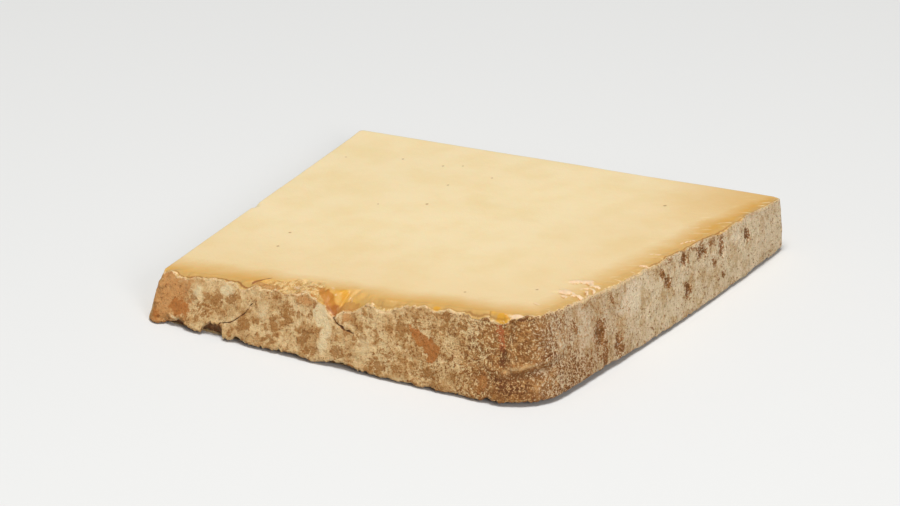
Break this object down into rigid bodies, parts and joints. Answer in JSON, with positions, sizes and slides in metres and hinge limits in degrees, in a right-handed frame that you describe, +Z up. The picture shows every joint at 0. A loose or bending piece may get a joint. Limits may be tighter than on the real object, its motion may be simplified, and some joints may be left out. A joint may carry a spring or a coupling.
{
  "type": "salers cheese slab",
  "caption": "Slab of Salers cheese on its cut side, thinner to the back, with chalky rind on two sides and a crumbled rim.",
  "frame": {"origin": "middle of the bounding box in plan, at the height of the surface that the slab lies on", "axes": "+Z up; +X along the front rind from its thin end to the drum's corner; +Y from the front rind to the back"},
  "size_m": [0.238, 0.2294, 0.0409],
  "materials": {
    "cheese": "satin paste with a dry chalky rind"
  },
  "bodies": {
    "root": {"salers_slab": "cheese"}
  },
  "joints": []
}
